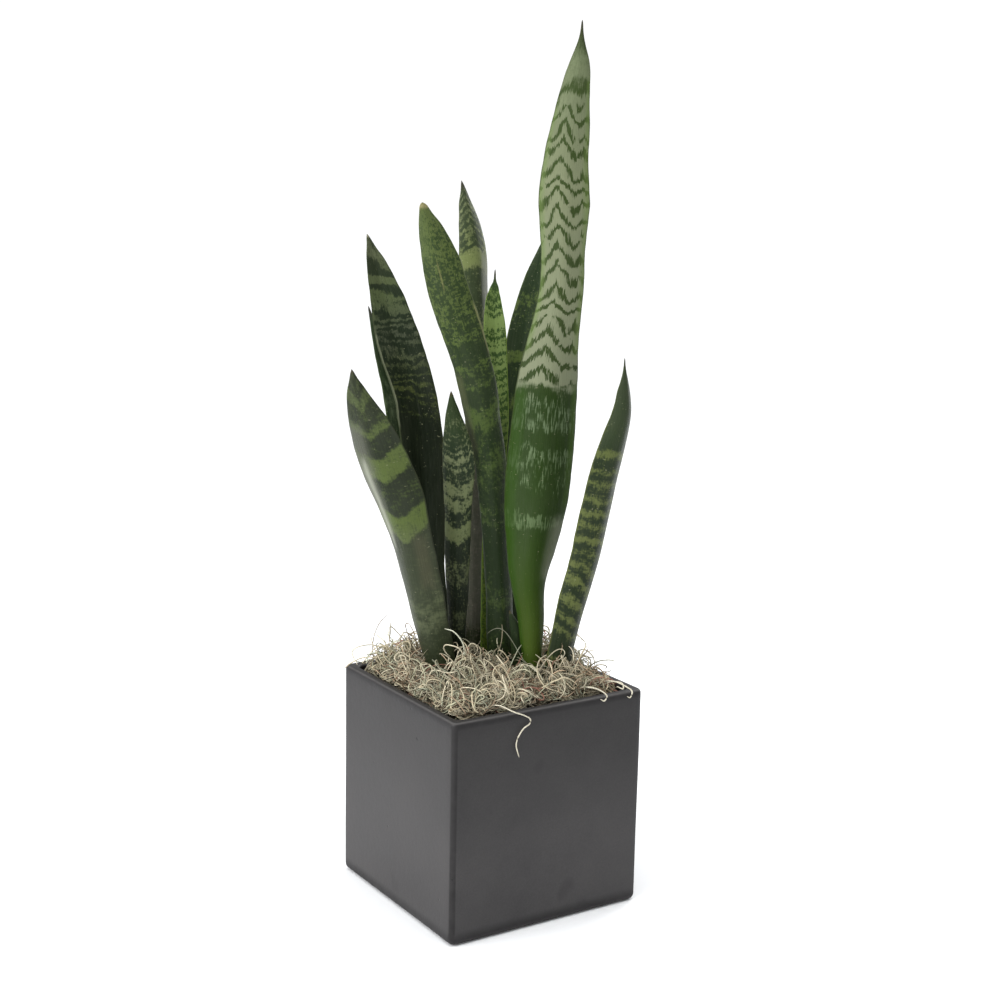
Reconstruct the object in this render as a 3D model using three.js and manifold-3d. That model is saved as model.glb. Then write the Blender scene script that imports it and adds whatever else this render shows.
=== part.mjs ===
// A snake plant growing in a square ceramic pot, its soil covered with dried moss.
// Millimetres, +Z up. The origin is the middle of the pot's underside, and the
// pot's walls are square to X and Y.
import * as THREE from "three";
import { LoftGeometry } from "three/addons/geometries/LoftGeometry.js";
import { mergeVertices } from "three/addons/utils/BufferGeometryUtils.js";
import Module from "manifold-3d";

const wasm = await Module();
wasm.setup();

// ---- Driving dimensions ----

// Pot
const potWidth = 150; // along X
const potDepth = 150; // along Y
const potHeight = 152;
const wallThickness = 7;
const floorThickness = 9;
const edgeRadius = 4.5; // upright corners and the edge round the underside
const rimRadius = 2.5; // both edges of the rim
const innerRadius = 5; // inside corners and the edge round the floor

// Soil and moss
const soilDrop = 24; // from the rim down to the soil
const mossEdgeDrop = 8; // from the rim down to the moss where it meets the wall
const mossCrown = 7; // how far the middle of the moss stands above the rim
const mossLump = 1.6; // height of the moss's lumps
const mossLumpPitch = 60; // from one lump to the next

// Leaves
const plantedDepth = 22; // how deep a leaf's base is set in the soil
const baseThickness = 7.5; // of a leaf at its base
const tipThickness = 2.2; // of a leaf just below its point
const pointWidth = 0.6; // the blunt end of a leaf's point
const flatBelow = 8; // a blade narrower than this loses its fold towards its point
const thickestShare = 0.7; // a narrow blade is no thicker than this share of its width

// Between neighbours that touch
const fitGap = 0.3;
const leafToWall = 4; // the least room between a leaf and the pot's inside wall

// ---- Resolution ----
const cornerSteps = 5; // chords in each upright corner of the pot
const arcSteps = 3; // chords in each edge rounding
const ringsPerSpan = 2; // leaf sections from one spine point to the next
const acrossSteps = 6; // chords across each face of a leaf

// ---- Materials ----
const matte = (color, roughness) =>
  new THREE.MeshStandardMaterial({ color, roughness, metalness: 0 });
const ceramic = matte(0x3b3a3b, 0.55);
const earth = matte(0x2e241c, 0.95);
const driedMoss = matte(0xa39b84, 0.95);
const leafDark = matte(0x34472c, 0.45);
const leafMid = matte(0x4c6236, 0.45);
const leafPale = matte(0x8a9b76, 0.45);

// ---- Levels and spaces that follow from the dimensions above ----
const soilLevel = potHeight - soilDrop;
const cavityWidth = potWidth - 2 * wallThickness;
const cavityDepth = potDepth - 2 * wallThickness;

// ---- Shared shapes ----

// A level rounded rectangle, counterclockwise from above. `height` gives z at (x, y).
function roundedRectangle(width, depth, radius, height) {
  const cornerX = width / 2 - radius;
  const cornerY = depth / 2 - radius;
  const corners = [[cornerX, cornerY], [-cornerX, cornerY], [-cornerX, -cornerY], [cornerX, -cornerY]];
  const points = [];
  corners.forEach(([x, y], quarter) => {
    for (let i = 0; i <= cornerSteps; i++) {
      const angle = (quarter + i / cornerSteps) * Math.PI / 2;
      const px = x + radius * Math.cos(angle);
      const py = y + radius * Math.sin(angle);
      points.push(new THREE.Vector3(px, py, height(px, py)));
    }
  });
  return points;
}

// A rounded rectangle of the given footprint, drawn in by `inset`, at one level.
function levelRing(width, depth, radius, inset, z) {
  const sharpest = 0.8;
  const ringRadius = Math.max(radius - inset, sharpest);
  return roundedRectangle(width - 2 * inset, depth - 2 * inset, ringRadius, () => z);
}

function closedLoft(sections) {
  return new LoftGeometry(sections, { capStart: true, capEnd: true });
}

function toSolid(geometry) {
  const bare = new THREE.BufferGeometry().copy(geometry);
  bare.deleteAttribute("normal");
  bare.deleteAttribute("uv");
  const merged = mergeVertices(bare, 1e-4);
  const vertProperties = new Float32Array(merged.attributes.position.array);
  const triVerts = new Uint32Array(merged.index.array);
  return new wasm.Manifold(new wasm.Mesh({ numProp: 3, vertProperties, triVerts }));
}

function toGeometry(solid) {
  const mesh = solid.getMesh();
  const geometry = new THREE.BufferGeometry();
  geometry.setAttribute("position", new THREE.BufferAttribute(mesh.vertProperties, 3));
  geometry.setIndex(new THREE.BufferAttribute(mesh.triVerts, 1));
  geometry.computeVertexNormals();
  return geometry;
}

// Rings of a rounding: `place` gets each angle from 0 to a quarter turn.
function roundOff(place) {
  const rings = [];
  for (let i = 0; i <= arcSteps; i++) rings.push(place(i / arcSteps * Math.PI / 2));
  return rings;
}

// The lower part of a block with rounded corners and a rounded edge round its underside.
function roundedBase(width, depth, radius, underside) {
  return roundOff((a) => levelRing(
    width, depth, radius, radius * (1 - Math.sin(a)), underside + radius * (1 - Math.cos(a))));
}

// ---- Pot: a rounded block with the cavity taken out through its top ----
function potSolid() {
  const block = closedLoft([
    ...roundedBase(potWidth, potDepth, edgeRadius, 0),
    ...roundOff((a) => levelRing(
      potWidth, potDepth, edgeRadius,
      rimRadius * (1 - Math.cos(a)), potHeight - rimRadius * (1 - Math.sin(a)))),
  ]);
  const above = 1;
  const cavity = closedLoft([
    ...roundedBase(cavityWidth, cavityDepth, innerRadius, floorThickness),
    ...roundOff((a) => levelRing(
      cavityWidth, cavityDepth, innerRadius,
      rimRadius * (Math.cos(a) - 1), potHeight - rimRadius * (1 - Math.sin(a)))),
    levelRing(cavityWidth, cavityDepth, innerRadius, -rimRadius, potHeight + above),
  ]);
  return toSolid(block).subtract(toSolid(cavity));
}

// ---- Soil: fills the cavity from the floor up to its own level ----
function soilGeometry() {
  const width = cavityWidth - 2 * fitGap;
  const depth = cavityDepth - 2 * fitGap;
  return closedLoft([
    ...roundedBase(width, depth, innerRadius, floorThickness + fitGap),
    levelRing(width, depth, innerRadius, 0, soilLevel),
  ]);
}

// ---- Moss: a lumpy mat, level with the rim at the walls and domed in the middle ----
function mossTop(x, y) {
  const out = Math.max(Math.abs(x) * 2 / cavityWidth, Math.abs(y) * 2 / cavityDepth);
  const dome = (mossEdgeDrop + mossCrown) * (1 - out ** 2);
  const turn = 2 * Math.PI / mossLumpPitch;
  const lumps = mossLump * Math.sin(turn * x + 1) * Math.cos(turn * y);
  return potHeight - mossEdgeDrop + dome + lumps;
}

function mossGeometry() {
  const width = cavityWidth - 2 * fitGap;
  const depth = cavityDepth - 2 * fitGap;
  const rings = [levelRing(width, depth, innerRadius, 0, soilLevel + fitGap)];
  for (const share of [1, 0.88, 0.72, 0.54, 0.34, 0.12]) {
    rings.push(roundedRectangle(width * share, depth * share, innerRadius * share, mossTop));
  }
  return closedLoft(rings);
}

// ---- Leaves ----
// Each leaf is a blade lofted along its spine. A spine point is [x, y, height above the soil,
// width of the blade]. `facing` gives, at the base and at the tip, the direction in which the
// outer face looks, in degrees from +X, and `channel` how deeply the blade is folded there, as
// a share of its width.
const leaves = {
  leaf_front_left: {
    material: leafMid,
    facing: [-165, -145],
    channel: [0.3, 0.12],
    spine: [
      [-32, 18, -plantedDepth, 18], [-34, 19, 30, 27], [-42, 21, 63, 31], [-49, 22, 92, 34],
      [-57, 21, 121, 35], [-66, 22, 149, 41], [-77, 24, 177, 40], [-87, 24, 205, 29],
      [-93, 24, 225, 13], [-97, 22, 239, 1],
    ],
  },
  leaf_back_left: {
    material: leafDark,
    facing: [70, 80],
    channel: [0.28, 0.08],
    spine: [
      [-3, 44, -plantedDepth, 16], [-8, 49, 33, 18], [-14, 60, 80, 20], [-13, 73, 150, 30],
      [-13.5, 85, 205, 30], [-20, 96, 240, 32], [-26, 105, 274, 25], [-31, 113, 302, 13],
      [-34, 119, 320, 1],
    ],
  },
  leaf_back_left_narrow: {
    material: leafDark,
    facing: [80, 80],
    channel: [0.25, 0.12],
    spine: [
      [-11, 57, -plantedDepth, 11], [-13, 61, 30, 14], [-17, 74, 85, 18], [-19, 88, 148, 20],
      [-20, 99, 197, 20], [-22, 104.5, 218, 17], [-25, 110, 232, 13], [-28.5, 117, 252, 6],
      [-31, 122, 269, 1],
    ],
  },
  leaf_front_middle: {
    material: leafDark,
    facing: [-122, -122],
    channel: [0.3, 0.1],
    spine: [
      [-14, 22, -plantedDepth, 10], [-14, 22, 34, 11], [-13.5, 23, 61, 12.5], [-14, 23, 90, 16],
      [-14, 24, 145, 19.5], [-13.5, 25, 168, 22], [-14.5, 27, 188, 18], [-16, 29, 203, 11],
      [-16.5, 31, 219, 1],
    ],
  },
  leaf_middle_left: {
    material: leafMid,
    facing: [-110, -135],
    channel: [0.3, 0.1],
    spine: [
      [17, 9, -plantedDepth, 16], [16, 11, 34, 20], [15, 14, 73, 18], [11.5, 18, 136, 18],
      [7.5, 20, 178, 22], [0.5, 21, 213, 26], [-7.5, 21, 241, 26], [-15, 21.5, 261, 28],
      [-23.5, 22, 281, 28], [-33, 21, 308, 25], [-41, 21, 330, 15], [-47, 20, 345, 4],
    ],
  },
  leaf_back_middle: {
    material: leafMid,
    facing: [-88, -88],
    channel: [0.25, 0.18],
    spine: [
      [11, 39, -plantedDepth, 11], [14, 42, 31, 14], [18, 50, 138, 16], [22, 58, 208, 18],
      [24, 62, 256, 22], [25, 66, 284, 24], [25.5, 69, 307, 23], [23.5, 72, 328, 18],
      [20.5, 76, 345, 9], [18, 78, 358, 1],
    ],
  },
  leaf_middle_slim: {
    material: leafPale,
    facing: [50, 60],
    channel: [0.3, 0.12],
    spine: [
      [17, 29, -plantedDepth, 10], [17.5, 30, 29, 12], [21, 34, 111, 14], [24, 37, 153, 15],
      [25, 38, 195, 16], [25, 40, 230, 17], [24, 41, 257, 16], [24, 43, 278, 11],
      [25, 43.5, 288, 5], [25, 43.5, 291, 2.2], [25, 43.5, 299, 1],
    ],
  },
  leaf_back_right: {
    material: leafDark,
    facing: [35, 45],
    channel: [0.28, 0.1],
    spine: [
      [40, 33, -plantedDepth, 12], [42, 36, 31, 15], [43, 39, 64, 15], [47, 42.5, 107, 21],
      [54, 52, 191, 29], [57, 55, 220, 30], [62, 56.5, 248, 28], [67, 58, 276, 22],
      [71, 57.5, 297, 15], [75, 58.5, 319, 1],
    ],
  },
  leaf_tall: {
    material: leafPale,
    facing: [-115, -125],
    channel: [0.34, 0.07],
    spine: [
      [22, -19, -plantedDepth, 12], [22, -18.5, 29, 11], [21, -17.5, 65, 18], [19, -17, 87, 23],
      [19, -17, 107, 31], [22, -17, 128, 39], [24, -17, 149, 44], [28, -16, 190, 44.5],
      [31, -16, 226, 41], [34, -17, 256, 34.5], [37, -19, 283, 30], [38, -20, 316, 30],
      [36, -21.5, 348, 33], [36, -24, 380, 28.5], [37, -28, 412, 21], [38, -32, 436, 12],
      [37.5, -34, 450, 3.5], [37, -35, 461, 1],
    ],
  },
  leaf_right: {
    material: leafDark,
    facing: [-80, -85],
    channel: [0.3, 0.2],
    spine: [
      [36, -25, -plantedDepth, 14], [38, -30, 29, 21], [42.5, -36, 65, 24],
      [49.5, -45, 110, 27], [54.5, -55.5, 166, 26], [57, -61, 190, 24], [59, -65, 211, 18],
      [57, -67, 228, 11], [55, -68, 240, 2.8], [54, -69, 249, 1],
    ],
  },
  sheath_left: {
    material: leafDark,
    facing: [-140, -150],
    channel: [0.3, 0.2],
    spine: [
      [20, -5, -plantedDepth, 10], [18.5, -7.5, 28, 13], [15.5, -7.5, 42, 10], [12.5, -6.5, 63, 6],
      [10.5, -5.5, 71, 1],
    ],
  },
  sheath_right: {
    material: leafDark,
    facing: [-80, -70],
    channel: [0.3, 0.2],
    spine: [
      [36, -8, -plantedDepth, 11], [35, -12, 24, 14], [36, -13, 32, 10], [38, -14, 39, 5],
      [39, -15, 45, 1],
    ],
  },
};

const foldPower = 1.5; // how a fold deepens from a blade's midline to its margins
const shortOfCrossing = 0.995; // the share of the sharpest possible fold that a blade may take

// One section of a blade, counterclockwise from the tip: along the inner face from one margin
// to the other, and back along the outer face. `grow` makes it larger all round.
function bladeSection(centre, along, outward, width, thickness, channel, grow) {
  const inward = outward.clone().addScaledVector(along, -outward.dot(along)).normalize().negate();
  const across = inward.clone().cross(along);
  const place = (s, side) => {
    const fold = channel * width * Math.abs(s) ** foldPower;
    const slope = 2 * foldPower * channel * Math.sign(s) * Math.abs(s) ** (foldPower - 1);
    const outToMargin = new THREE.Vector2(1, slope).normalize();
    const half = side * (thickness / 2 * Math.sqrt(1 - s * s) + grow);
    const past = side ? 0 : Math.sign(s) * grow;
    const x = s * width / 2 + past * outToMargin.x - half * outToMargin.y;
    const y = fold + past * outToMargin.y + half * outToMargin.x;
    return centre.clone().addScaledVector(across, x).addScaledVector(inward, y);
  };
  const points = [];
  for (let i = 0; i < acrossSteps; i++) points.push(place(1 - 2 * i / acrossSteps, i ? 1 : 0));
  for (let i = 0; i < acrossSteps; i++) points.push(place(2 * i / acrossSteps - 1, i ? -1 : 0));
  return points;
}

// The sharpest fold a blade takes before its inner face, with the room round it, crosses itself.
function sharpestFold(width, thickness) {
  const s = 2 / acrossSteps; // the first point of the face off its midline
  const half = (thickness / 2 + fitGap) * Math.sqrt(1 - s * s);
  const lean = Math.asin(Math.min(shortOfCrossing * s * width / 2 / half, 1));
  return Math.tan(lean) / (2 * foldPower * s ** (foldPower - 1));
}

function leafGeometry({ spine, facing, channel }, grow = 0) {
  const path = new THREE.CatmullRomCurve3(
    spine.map(([x, y, height]) => new THREE.Vector3(x, y, soilLevel + height)));
  const widths = new THREE.SplineCurve(
    spine.map(([, , , width], i) => new THREE.Vector2(i, width)));
  const spans = (spine.length - 1) * ringsPerSpan;
  const sections = [];
  for (let i = 0; i <= spans; i++) {
    const t = i / spans;
    const width = Math.max(widths.getPoint(t).y, pointWidth);
    const taper = tipThickness + (baseThickness - tipThickness) * (1 - t) ** 2;
    const thickness = Math.min(taper, width * thickestShare);
    const angle = THREE.MathUtils.degToRad(THREE.MathUtils.lerp(facing[0], facing[1], t));
    const centre = path.getPoint(t);
    const along = path.getTangent(t);
    const folded = THREE.MathUtils.lerp(channel[0], channel[1], t) * Math.min(width / flatBelow, 1);
    const fold = Math.min(folded, sharpestFold(width, thickness));
    if (i === 0) centre.addScaledVector(along, -grow);
    if (i === spans) centre.addScaledVector(along, grow);
    const outward = new THREE.Vector3(Math.cos(angle), Math.sin(angle), 0);
    sections.push(bladeSection(centre, along, outward, width, thickness, fold, grow));
  }
  return closedLoft(sections);
}

// ---- Assembly ----
const plant = new THREE.Group();

function addPart(name, geometry, material) {
  const mesh = new THREE.Mesh(geometry, material);
  mesh.name = name;
  plant.add(mesh);
}

// The clump is moved as a whole where a narrower pot would bring it too near a wall.
const planted = new THREE.Box3();
const point = new THREE.Vector3();
for (const leaf of Object.values(leaves)) {
  const { position } = leafGeometry(leaf).attributes;
  for (let i = 0; i < position.count; i++) {
    point.fromBufferAttribute(position, i);
    if (point.z < potHeight) planted.expandByPoint(point);
  }
}

function moveOffWalls(low, high, span) {
  const reach = span / 2 - leafToWall;
  return Math.max(-reach - low, 0) - Math.max(high - reach, 0);
}

const clumpMove = new THREE.Vector3(
  moveOffWalls(planted.min.x, planted.max.x, cavityWidth),
  moveOffWalls(planted.min.y, planted.max.y, cavityDepth), 0);
const plantedLeaf = (leaf, grow = 0) => leafGeometry(leaf, grow).translate(...clumpMove);

let soil = toSolid(soilGeometry());
let moss = toSolid(mossGeometry());
for (const [name, leaf] of Object.entries(leaves)) {
  const room = toSolid(plantedLeaf(leaf, fitGap));
  soil = soil.subtract(room);
  moss = moss.subtract(room);
  addPart(name, plantedLeaf(leaf), leaf.material);
}
addPart("pot", toGeometry(potSolid()), ceramic);
addPart("potting_soil", toGeometry(soil), earth);
addPart("moss", toGeometry(moss), driedMoss);

export default plant;
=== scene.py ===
"""The looks of a snake plant in a charcoal cube pot topped with dried moss.

Metres, +Z up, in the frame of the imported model; the pot's walls are square to X and Y.
Distances along a leaf are in millimetres from its base.
"""
import math

import bmesh
import bpy
import numpy as np
from mathutils import Matrix, Vector, noise


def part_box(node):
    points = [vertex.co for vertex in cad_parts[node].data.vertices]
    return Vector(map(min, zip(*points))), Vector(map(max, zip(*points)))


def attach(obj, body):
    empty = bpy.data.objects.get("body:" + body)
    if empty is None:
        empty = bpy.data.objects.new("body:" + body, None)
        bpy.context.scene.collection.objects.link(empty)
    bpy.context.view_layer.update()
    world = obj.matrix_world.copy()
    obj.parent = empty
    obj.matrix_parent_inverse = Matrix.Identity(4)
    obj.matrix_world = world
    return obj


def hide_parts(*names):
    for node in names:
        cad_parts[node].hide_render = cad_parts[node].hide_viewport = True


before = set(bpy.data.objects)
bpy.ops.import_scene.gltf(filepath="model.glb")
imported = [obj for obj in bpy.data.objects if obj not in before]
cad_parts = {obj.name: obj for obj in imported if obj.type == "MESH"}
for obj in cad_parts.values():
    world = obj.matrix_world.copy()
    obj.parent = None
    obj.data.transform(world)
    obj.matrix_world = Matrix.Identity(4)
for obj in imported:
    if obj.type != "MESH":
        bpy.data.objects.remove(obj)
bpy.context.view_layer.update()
scene = bpy.context.scene
MM = 0.001

# ---- Camera ----
AZIMUTH, PITCH, ROLL = (math.radians(a) for a in (-32.82, 11.47, 1.129))
AIM = Vector((-0.0008, -0.0084, 0.2774))
DISTANCE, LENS = 1.16, 62.32  # metres from AIM, and mm of focal length
VIEW_RIGHT = Vector((math.cos(AZIMUTH), math.sin(AZIMUTH), 0))


def add_camera():
    back = Vector((math.sin(AZIMUTH) * math.cos(PITCH), -math.cos(AZIMUTH) * math.cos(PITCH),
                   math.sin(PITCH)))
    level_up = back.cross(VIEW_RIGHT)
    right = VIEW_RIGHT * math.cos(ROLL) + level_up * math.sin(ROLL)
    up = back.cross(right)
    camera = bpy.data.objects.new("camera", bpy.data.cameras.new("camera"))
    camera.data.lens = LENS
    camera.data.clip_start, camera.data.clip_end = 0.05, 60
    camera.matrix_world = Matrix.Translation(AIM + back * DISTANCE) @ Matrix(
        (right, up, back)).transposed().to_4x4()
    scene.collection.objects.link(camera)
    scene.camera = camera


add_camera()


# ---- Materials from nodes ----
NOISE_GAIN = 3  # brings a noise texture, less its mean, to about -1 to 1


def rgb(red, green, blue):
    """A colour given as 0 to 255 sRGB."""
    return tuple(((c / 255 + 0.055) / 1.055) ** 2.4 if c > 10 else c / 3294.6
                 for c in (red, green, blue)) + (1,)


class Wire:
    """A value in a node tree; a sum on it adds a Math node."""

    def __init__(self, nodes, socket):
        self.nodes, self.socket = nodes, socket

    def step(self, operation, *others):
        return self.nodes.wire("ShaderNodeMath", (self, *others), operation=operation)

    def __add__(self, other):
        return self.step("ADD", other)

    def __sub__(self, other):
        return self.step("SUBTRACT", other)

    def __mul__(self, other):
        return self.step("MULTIPLY", other)

    def most(self, other):
        return self.step("MAXIMUM", other)

    def least(self, other):
        return self.step("MINIMUM", other)

    def clamp(self):
        return self.most(0).least(1)

    def size(self):
        return self.step("ABSOLUTE")

    def rise(self, low, high):
        """0 below low, 1 above high, smooth between; high may be the lower of the two."""
        return self.nodes.wire("ShaderNodeMapRange", (self, low, high, 0, 1),
                               interpolation_type="SMOOTHSTEP")

    def inside(self, low, high, soft):
        """1 between low and high, 0 outside, with edges that are soft both ways."""
        return self.rise(low - soft, low + soft) * self.rise(high + soft, high - soft)

    def beside(self, name):
        """Another output of the same node."""
        return Wire(self.nodes, self.socket.node.outputs[name])


class Nodes:
    """A node tree, and what adds nodes to it."""

    def __init__(self, tree):
        self.tree = tree

    def put(self, socket, value):
        if isinstance(value, Wire):
            self.tree.links.new(value.socket, socket)
        else:
            socket.default_value = value

    def wire(self, kind, inputs=(), output=0, **settings):
        """An output of a new node; its inputs are given in order, or by name or number."""
        node = self.tree.nodes.new(kind)
        for key, value in settings.items():
            setattr(node, key, value)
        for key, value in inputs.items() if isinstance(inputs, dict) else enumerate(inputs):
            self.put(node.inputs[key], value)
        return Wire(self, node.outputs[output])


class Paint(Nodes):
    """A material whose surface is one Principled shader."""

    def __init__(self, name, roughness, specular):
        self.material = bpy.data.materials.new(name)
        self.material.use_nodes = True
        super().__init__(self.material.node_tree)
        self.shader = self.tree.nodes["Principled BSDF"]
        self.shader.inputs["Roughness"].default_value = roughness
        self.shader.inputs["Specular IOR Level"].default_value = specular

    def attribute(self, name, output="Fac"):
        return self.wire("ShaderNodeAttribute", (), output, attribute_name=name)

    def place(self):
        return self.wire("ShaderNodeTexCoord", (), "Object")

    def height(self, vector):
        return self.wire("ShaderNodeSeparateXYZ", [vector], "Z")

    def vector(self, *parts):
        return self.wire("ShaderNodeCombineXYZ", parts)

    def noise(self, vector, scale=1.0, detail=2.0, rough=0.5):
        inputs = {"Vector": vector, "Scale": scale, "Detail": detail, "Roughness": rough}
        return (self.wire("ShaderNodeTexNoise", inputs, "Fac") - 0.5) * NOISE_GAIN

    def cells(self, vector, scale):
        """The distance to the nearest of scattered points; "Color" beside it is random."""
        return self.wire("ShaderNodeTexVoronoi", {"Vector": vector, "Scale": scale}, "Distance")

    def red(self, colour):
        return self.wire("ShaderNodeSeparateColor", [colour])

    def ramp(self, value, stops):
        """Colours or numbers at the given stops, straight between them."""
        low, high = stops[0][0], stops[-1][0]
        share = (value - low) * (1 / (high - low))
        colour = self.wire("ShaderNodeValToRGB", [share], "Color")
        elements = colour.socket.node.color_ramp.elements
        while len(elements) < len(stops):
            elements.new(0.5)
        for element, (place, tone) in zip(elements, stops):
            element.position = (place - low) / (high - low)
            element.color = tone if isinstance(tone, tuple) else (tone, tone, tone, 1)
        return colour

    def curve(self, value, points):
        """A number that follows the points (value, result), results from -1 to 1."""
        return self.ramp(value, [(x, (y + 1) / 2) for x, y in points]) * 2 - 1

    def mix(self, share, first, second):
        inputs = {0: share, 6: first, 7: second}  # the sockets of a mix of two colours
        return self.wire("ShaderNodeMix", inputs, 2, data_type="RGBA")

    def cover(self, share, tone):
        """Lays a tone over the colour so far."""
        self.colour = self.mix(share, self.colour, tone)

    def tint(self, colour, red, green, blue):
        return self.wire("ShaderNodeVectorMath", [colour, (red, green, blue)],
                         operation="MULTIPLY")

    def finish(self, colour, roughness=None, height=None, depth=0.1 * MM):
        self.put(self.shader.inputs["Base Color"], colour)
        if roughness is not None:
            self.put(self.shader.inputs["Roughness"], roughness)
        if height is not None:
            bump = self.wire("ShaderNodeBump", {"Distance": depth, "Height": height})
            self.put(self.shader.inputs["Normal"], bump)
        return self.material


# ---- Meshes ----
def make_piece(name, points, faces, material, stands_for=(), attributes=(), uv=None):
    mesh = bpy.data.meshes.new(name)
    mesh.from_pydata(np.asarray(points).tolist(), [], faces)
    for key, values in attributes:
        values = np.asarray(values, np.float32)
        kind = "FLOAT" if values.ndim == 1 else "FLOAT_COLOR"
        layer = mesh.attributes.new(key, kind, "POINT")
        layer.data.foreach_set("value" if kind == "FLOAT" else "color", values.ravel())
    if uv is not None:
        layer = mesh.uv_layers.new(name="OFBake")
        layer.data.foreach_set("uv", np.asarray(uv, np.float32).ravel())
    mesh.shade_smooth()
    mesh.materials.append(material)
    piece = bpy.data.objects.new(name, mesh)
    scene.collection.objects.link(piece)
    if stands_for:
        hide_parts(*stands_for)
    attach(piece, "root")
    return piece


def ring_faces(rings, around):
    """Quads between rings of as many points each, the rings listed from first to last."""
    faces = []
    for r in range(rings - 1):
        for i in range(around):
            j = (i + 1) % around
            faces.append((r * around + i, r * around + j,
                          (r + 1) * around + j, (r + 1) * around + i))
    return faces


# ---- Pot ----
POT_LOW, POT_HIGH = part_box("pot")
HALF = (POT_HIGH.x - POT_LOW.x) / 2
RIM = POT_HIGH.z
WALL, FLOOR = 7 * MM, 9 * MM
EDGE, LIP, INSIDE = 4.5 * MM, 2.5 * MM, 5 * MM  # radii: outer edges, rim, inner corners
CAVITY = HALF - WALL
MIDDLE_RINGS = (0.02, 0.045)  # half widths, on the underside and on the floor
SMALLEST_RADIUS = 1 * MM
ARC_STEPS, WALL_STEPS, INSIDE_STEPS = 6, 26, 14


def square_ring(half, radius, z, corner_steps=8, side_steps=26):
    """A level square with rounded corners, counterclockwise from above."""
    points = []
    straight = half - radius
    for quarter, (sx, sy) in enumerate(((1, 1), (-1, 1), (-1, -1), (1, -1))):
        for i in range(corner_steps + 1):
            a = (quarter + i / corner_steps) * math.pi / 2
            points.append((sx * straight + radius * math.cos(a),
                           sy * straight + radius * math.sin(a), z))
        start = Vector(points[-1])
        a = (quarter + 1) * math.pi / 2
        end = start + Vector((-math.sin(a), math.cos(a), 0)) * 2 * straight
        for i in range(1, side_steps):
            points.append(tuple(start.lerp(end, i / side_steps)))
    return points


def pot_rings():
    """(half width, corner radius, height, shade) from the middle of the underside, up the
    outside, over the rim and down to the middle of the floor; shade is 1 for a dark band of
    painted shade and -1 for a pale line of painted highlight."""
    quarter = [i / ARC_STEPS * math.pi / 2 for i in range(ARC_STEPS + 1)]
    rings = [(h, EDGE / 2, 0.0, 0) for h in (*MIDDLE_RINGS, HALF - EDGE - 2 * MM)]
    rings += [(HALF - EDGE + EDGE * math.sin(a), max(EDGE * math.sin(a), SMALLEST_RADIUS),
               EDGE - EDGE * math.cos(a), 1) for a in quarter]
    low, high = EDGE, RIM - LIP
    rings += [(HALF, EDGE, low + (high - low) * i / WALL_STEPS, 0)
              for i in range(1, WALL_STEPS - 1)]
    rings += [(HALF, EDGE, high - 3 * MM, 0.3), (HALF, EDGE, high - 1 * MM, 1)]
    rings += [(HALF - LIP + LIP * math.cos(a), EDGE - LIP + LIP * math.cos(a),
               high + LIP * math.sin(a), shade)
              for a, shade in zip(quarter, (1, 0.7, 0, -0.8, -0.8, 0, 0))]
    rings += [(CAVITY + LIP - LIP * math.sin(a), INSIDE + LIP - LIP * math.sin(a),
               high + LIP * math.cos(a), shade)
              for a, shade in zip(quarter, (0, 0, -0.5, -0.5, 0, 1, 1))]
    rings += [(CAVITY, INSIDE, high + (FLOOR + INSIDE - high) * i / INSIDE_STEPS, 0)
              for i in range(1, INSIDE_STEPS + 1)]
    rings += [(CAVITY - INSIDE + INSIDE * math.cos(a),
               max(INSIDE * math.cos(a), SMALLEST_RADIUS),
               FLOOR + INSIDE - INSIDE * math.sin(a), 0) for a in quarter[1:]]
    rings += [(h, SMALLEST_RADIUS, FLOOR, 0) for h in MIDDLE_RINGS[::-1]]
    return rings


def add_pot():
    points, edge_shade_and_highlight = [], []
    rings = pot_rings()
    for half, radius, z, shade in rings:
        for p in square_ring(half, radius, z):
            p = Vector(p)
            # the walls waver by up to about half a millimetre, and only inwards
            sway = noise.noise(p * 14) * 0.25 * MM + noise.noise(p * 55) * 0.06 * MM
            inward = p.xy.normalized() * min(sway - 0.2 * MM, 0)
            # the outer wall's rounded corners get the full painted shade
            corner = min(abs(p.x), abs(p.y)) > HALF - EDGE * 0.7
            points.append((p.x + inward.x, p.y + inward.y, p.z))
            edge_shade_and_highlight.append(1.0 if corner and half == HALF else shade)
    around = len(points) // len(rings)
    faces = ring_faces(len(rings), around)
    for first, z, order in ((0, 0.0, -1), ((len(rings) - 1) * around, FLOOR, 1)):
        centre = len(points)
        points.append((0, 0, z))
        edge_shade_and_highlight.append(0.0)
        for i in range(around):
            face = (centre, first + i, first + (i + 1) % around)
            faces.append(face[::order])
    make_piece("pot_ceramic", points, faces, ceramic_material(), ["pot"],
               [("edge_shade_and_highlight", edge_shade_and_highlight)])


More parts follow.
